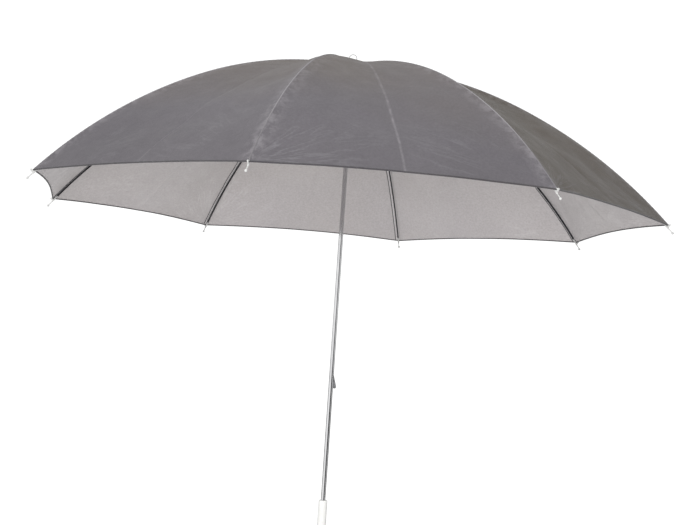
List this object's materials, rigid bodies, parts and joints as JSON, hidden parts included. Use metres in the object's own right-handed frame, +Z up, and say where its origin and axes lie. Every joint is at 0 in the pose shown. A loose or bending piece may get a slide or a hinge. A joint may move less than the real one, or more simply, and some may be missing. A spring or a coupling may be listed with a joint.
{
  "type": "umbrella",
  "caption": "Open umbrella with a grey cloth canopy, silver underside, dark ribs on a slim chromed shaft, white rib tips and a white end sleeve; it folds.",
  "frame": {"origin": "centre of the lower end of the white end sleeve, on the shaft's axis", "axes": "+Z up the shaft, +X towards rib 1"},
  "size_m": [1.2226, 1.2226, 0.999],
  "materials": {
    "chrome": "bright plated tube",
    "white_plastic": "white moulded plastic",
    "spring_steel": "bare steel",
    "dark_plastic": "dark moulded plastic",
    "pale_plastic": "pale grey moulded plastic",
    "loop_wire": "pale coated wire",
    "rib_steel": "dark painted steel channel",
    "cloth": "grey woven cloth with a silver-grey coated underside"
  },
  "bodies": {
    "root": {"shaft_tube": "chrome", "end_sleeve": "white_plastic", "end_plug": "white_plastic", "catch_pins": "spring_steel", "crown_notch": "dark_plastic", "crown_pin": "spring_steel", "crown_wire": "spring_steel", "top_cap": "pale_plastic", "top_loop": "loop_wire"},
    "runner": {"runner": "dark_plastic"},
    "top_catch": {"top_catch": "spring_steel"},
    "bottom_catch": {"bottom_catch": "spring_steel"},
    "rib_inner_1": {"rib_inner_1": "rib_steel", "cloth_inner_1": "cloth"},
    "rib_outer_1": {"rib_outer_1": "rib_steel", "rib_tip_1": "white_plastic", "cloth_outer_1": "cloth"},
    "stretcher_1": {"stretcher_1": "rib_steel"},
    "rib_inner_2": {"rib_inner_2": "rib_steel", "cloth_inner_2": "cloth"},
    "rib_outer_2": {"rib_outer_2": "rib_steel", "rib_tip_2": "white_plastic", "cloth_outer_2": "cloth"},
    "stretcher_2": {"stretcher_2": "rib_steel"},
    "rib_inner_3": {"rib_inner_3": "rib_steel", "cloth_inner_3": "cloth"},
    "rib_outer_3": {"rib_outer_3": "rib_steel", "rib_tip_3": "white_plastic", "cloth_outer_3": "cloth"},
    "stretcher_3": {"stretcher_3": "rib_steel"},
    "rib_inner_4": {"rib_inner_4": "rib_steel", "cloth_inner_4": "cloth"},
    "rib_outer_4": {"rib_outer_4": "rib_steel", "rib_tip_4": "white_plastic", "cloth_outer_4": "cloth"},
    "stretcher_4": {"stretcher_4": "rib_steel"},
    "rib_inner_5": {"rib_inner_5": "rib_steel", "cloth_inner_5": "cloth"},
    "rib_outer_5": {"rib_outer_5": "rib_steel", "rib_tip_5": "white_plastic", "cloth_outer_5": "cloth"},
    "stretcher_5": {"stretcher_5": "rib_steel"},
    "rib_inner_6": {"rib_inner_6": "rib_steel", "cloth_inner_6": "cloth"},
    "rib_outer_6": {"rib_outer_6": "rib_steel", "rib_tip_6": "white_plastic", "cloth_outer_6": "cloth"},
    "stretcher_6": {"stretcher_6": "rib_steel"},
    "rib_inner_7": {"rib_inner_7": "rib_steel", "cloth_inner_7": "cloth"},
    "rib_outer_7": {"rib_outer_7": "rib_steel", "rib_tip_7": "white_plastic", "cloth_outer_7": "cloth"},
    "stretcher_7": {"stretcher_7": "rib_steel"},
    "rib_inner_8": {"rib_inner_8": "rib_steel", "cloth_inner_8": "cloth"},
    "rib_outer_8": {"rib_outer_8": "rib_steel", "rib_tip_8": "white_plastic", "cloth_outer_8": "cloth"},
    "stretcher_8": {"stretcher_8": "rib_steel"}
  },
  "joints": [
    {"name": "runner_slide", "type": "slide", "parent": "root", "child": "runner", "axis": [0, 0, -1], "range_m": [0, 0.48295]},
    {"name": "top_catch_press", "type": "hinge", "parent": "root", "child": "top_catch", "pos_m": [-0.00054, 0.00129, 0.77222], "axis": [0.9239, 0.3827, 0], "range_deg": [0, 11], "stiffness_Nm_per_rad": 0.05, "springref_deg": -2.86},
    {"name": "bottom_catch_press", "type": "hinge", "parent": "root", "child": "bottom_catch", "pos_m": [-0.00054, 0.00129, 0.38617], "axis": [-0.9239, -0.3827, 0], "range_deg": [0, 11], "stiffness_Nm_per_rad": 0.05, "springref_deg": -2.86},
    {"name": "rib_fold_1", "type": "hinge", "parent": "root", "child": "rib_inner_1", "pos_m": [0.011, 0, 0.97259], "axis": [0, 1, 0], "range_deg": [0, 73.35], "deforming": ["cloth_inner_1"]},
    {"name": "rib_flex_1", "type": "hinge", "parent": "rib_inner_1", "child": "rib_outer_1", "pos_m": [0.31628, 0, 0.90111], "axis": [0, -1, 0], "range_deg": [0, 18.57], "deforming": ["cloth_outer_1"]},
    {"name": "stretcher_fold_1", "type": "hinge", "parent": "rib_inner_1", "child": "stretcher_1", "pos_m": [0.31628, 0, 0.90111], "axis": [0, -1, 0], "range_deg": [0, 146.7]},
    {"name": "rib_fold_2", "type": "hinge", "parent": "root", "child": "rib_inner_2", "pos_m": [0.00778, 0.00778, 0.97259], "axis": [-0.7071, 0.7071, 0], "range_deg": [0, 73.35], "deforming": ["cloth_inner_2"]},
    {"name": "rib_flex_2", "type": "hinge", "parent": "rib_inner_2", "child": "rib_outer_2", "pos_m": [0.22364, 0.22364, 0.90111], "axis": [0.7071, -0.7071, 0], "range_deg": [0, 18.57], "deforming": ["cloth_outer_2"]},
    {"name": "stretcher_fold_2", "type": "hinge", "parent": "rib_inner_2", "child": "stretcher_2", "pos_m": [0.22364, 0.22364, 0.90111], "axis": [0.7071, -0.7071, 0], "range_deg": [0, 146.7]},
    {"name": "rib_fold_3", "type": "hinge", "parent": "root", "child": "rib_inner_3", "pos_m": [0, 0.011, 0.97259], "axis": [-1, 0, 0], "range_deg": [0, 73.35], "deforming": ["cloth_inner_3"]},
    {"name": "rib_flex_3", "type": "hinge", "parent": "rib_inner_3", "child": "rib_outer_3", "pos_m": [0, 0.31628, 0.90111], "axis": [1, 0, 0], "range_deg": [0, 18.57], "deforming": ["cloth_outer_3"]},
    {"name": "stretcher_fold_3", "type": "hinge", "parent": "rib_inner_3", "child": "stretcher_3", "pos_m": [0, 0.31628, 0.90111], "axis": [1, 0, 0], "range_deg": [0, 146.7]},
    {"name": "rib_fold_4", "type": "hinge", "parent": "root", "child": "rib_inner_4", "pos_m": [-0.00778, 0.00778, 0.97259], "axis": [-0.7071, -0.7071, 0], "range_deg": [0, 73.35], "deforming": ["cloth_inner_4"]},
    {"name": "rib_flex_4", "type": "hinge", "parent": "rib_inner_4", "child": "rib_outer_4", "pos_m": [-0.22364, 0.22364, 0.90111], "axis": [0.7071, 0.7071, 0], "range_deg": [0, 18.57], "deforming": ["cloth_outer_4"]},
    {"name": "stretcher_fold_4", "type": "hinge", "parent": "rib_inner_4", "child": "stretcher_4", "pos_m": [-0.22364, 0.22364, 0.90111], "axis": [0.7071, 0.7071, 0], "range_deg": [0, 146.7]},
    {"name": "rib_fold_5", "type": "hinge", "parent": "root", "child": "rib_inner_5", "pos_m": [-0.011, 0, 0.97259], "axis": [0, -1, 0], "range_deg": [0, 73.35], "deforming": ["cloth_inner_5"]},
    {"name": "rib_flex_5", "type": "hinge", "parent": "rib_inner_5", "child": "rib_outer_5", "pos_m": [-0.31628, 0, 0.90111], "axis": [0, 1, 0], "range_deg": [0, 18.57], "deforming": ["cloth_outer_5"]},
    {"name": "stretcher_fold_5", "type": "hinge", "parent": "rib_inner_5", "child": "stretcher_5", "pos_m": [-0.31628, 0, 0.90111], "axis": [0, 1, 0], "range_deg": [0, 146.7]},
    {"name": "rib_fold_6", "type": "hinge", "parent": "root", "child": "rib_inner_6", "pos_m": [-0.00778, -0.00778, 0.97259], "axis": [0.7071, -0.7071, 0], "range_deg": [0, 73.35], "deforming": ["cloth_inner_6"]},
    {"name": "rib_flex_6", "type": "hinge", "parent": "rib_inner_6", "child": "rib_outer_6", "pos_m": [-0.22364, -0.22364, 0.90111], "axis": [-0.7071, 0.7071, 0], "range_deg": [0, 18.57], "deforming": ["cloth_outer_6"]},
    {"name": "stretcher_fold_6", "type": "hinge", "parent": "rib_inner_6", "child": "stretcher_6", "pos_m": [-0.22364, -0.22364, 0.90111], "axis": [-0.7071, 0.7071, 0], "range_deg": [0, 146.7]},
    {"name": "rib_fold_7", "type": "hinge", "parent": "root", "child": "rib_inner_7", "pos_m": [0, -0.011, 0.97259], "axis": [1, 0, 0], "range_deg": [0, 73.35], "deforming": ["cloth_inner_7"]},
    {"name": "rib_flex_7", "type": "hinge", "parent": "rib_inner_7", "child": "rib_outer_7", "pos_m": [0, -0.31628, 0.90111], "axis": [-1, 0, 0], "range_deg": [0, 18.57], "deforming": ["cloth_outer_7"]},
    {"name": "stretcher_fold_7", "type": "hinge", "parent": "rib_inner_7", "child": "stretcher_7", "pos_m": [0, -0.31628, 0.90111], "axis": [-1, 0, 0], "range_deg": [0, 146.7]},
    {"name": "rib_fold_8", "type": "hinge", "parent": "root", "child": "rib_inner_8", "pos_m": [0.00778, -0.00778, 0.97259], "axis": [0.7071, 0.7071, 0], "range_deg": [0, 73.35], "deforming": ["cloth_inner_8"]},
    {"name": "rib_flex_8", "type": "hinge", "parent": "rib_inner_8", "child": "rib_outer_8", "pos_m": [0.22364, -0.22364, 0.90111], "axis": [-0.7071, -0.7071, 0], "range_deg": [0, 18.57], "deforming": ["cloth_outer_8"]},
    {"name": "stretcher_fold_8", "type": "hinge", "parent": "rib_inner_8", "child": "stretcher_8", "pos_m": [0.22364, -0.22364, 0.90111], "axis": [-0.7071, -0.7071, 0], "range_deg": [0, 146.7]}
  ],
  "couplings": [
    {"joint": "rib_fold_1", "follows": "runner_slide", "rad_per_m": 2.6507},
    {"joint": "rib_flex_1", "follows": "runner_slide", "rad_per_m": 0.67116},
    {"joint": "stretcher_fold_1", "follows": "runner_slide", "rad_per_m": 5.3014},
    {"joint": "rib_fold_2", "follows": "runner_slide", "rad_per_m": 2.6507},
    {"joint": "rib_flex_2", "follows": "runner_slide", "rad_per_m": 0.67116},
    {"joint": "stretcher_fold_2", "follows": "runner_slide", "rad_per_m": 5.3014},
    {"joint": "rib_fold_3", "follows": "runner_slide", "rad_per_m": 2.6507},
    {"joint": "rib_flex_3", "follows": "runner_slide", "rad_per_m": 0.67116},
    {"joint": "stretcher_fold_3", "follows": "runner_slide", "rad_per_m": 5.3014},
    {"joint": "rib_fold_4", "follows": "runner_slide", "rad_per_m": 2.6507},
    {"joint": "rib_flex_4", "follows": "runner_slide", "rad_per_m": 0.67116},
    {"joint": "stretcher_fold_4", "follows": "runner_slide", "rad_per_m": 5.3014},
    {"joint": "rib_fold_5", "follows": "runner_slide", "rad_per_m": 2.6507},
    {"joint": "rib_flex_5", "follows": "runner_slide", "rad_per_m": 0.67116},
    {"joint": "stretcher_fold_5", "follows": "runner_slide", "rad_per_m": 5.3014},
    {"joint": "rib_fold_6", "follows": "runner_slide", "rad_per_m": 2.6507},
    {"joint": "rib_flex_6", "follows": "runner_slide", "rad_per_m": 0.67116},
    {"joint": "stretcher_fold_6", "follows": "runner_slide", "rad_per_m": 5.3014},
    {"joint": "rib_fold_7", "follows": "runner_slide", "rad_per_m": 2.6507},
    {"joint": "rib_flex_7", "follows": "runner_slide", "rad_per_m": 0.67116},
    {"joint": "stretcher_fold_7", "follows": "runner_slide", "rad_per_m": 5.3014},
    {"joint": "rib_fold_8", "follows": "runner_slide", "rad_per_m": 2.6507},
    {"joint": "rib_flex_8", "follows": "runner_slide", "rad_per_m": 0.67116},
    {"joint": "stretcher_fold_8", "follows": "runner_slide", "rad_per_m": 5.3014}
  ]
}
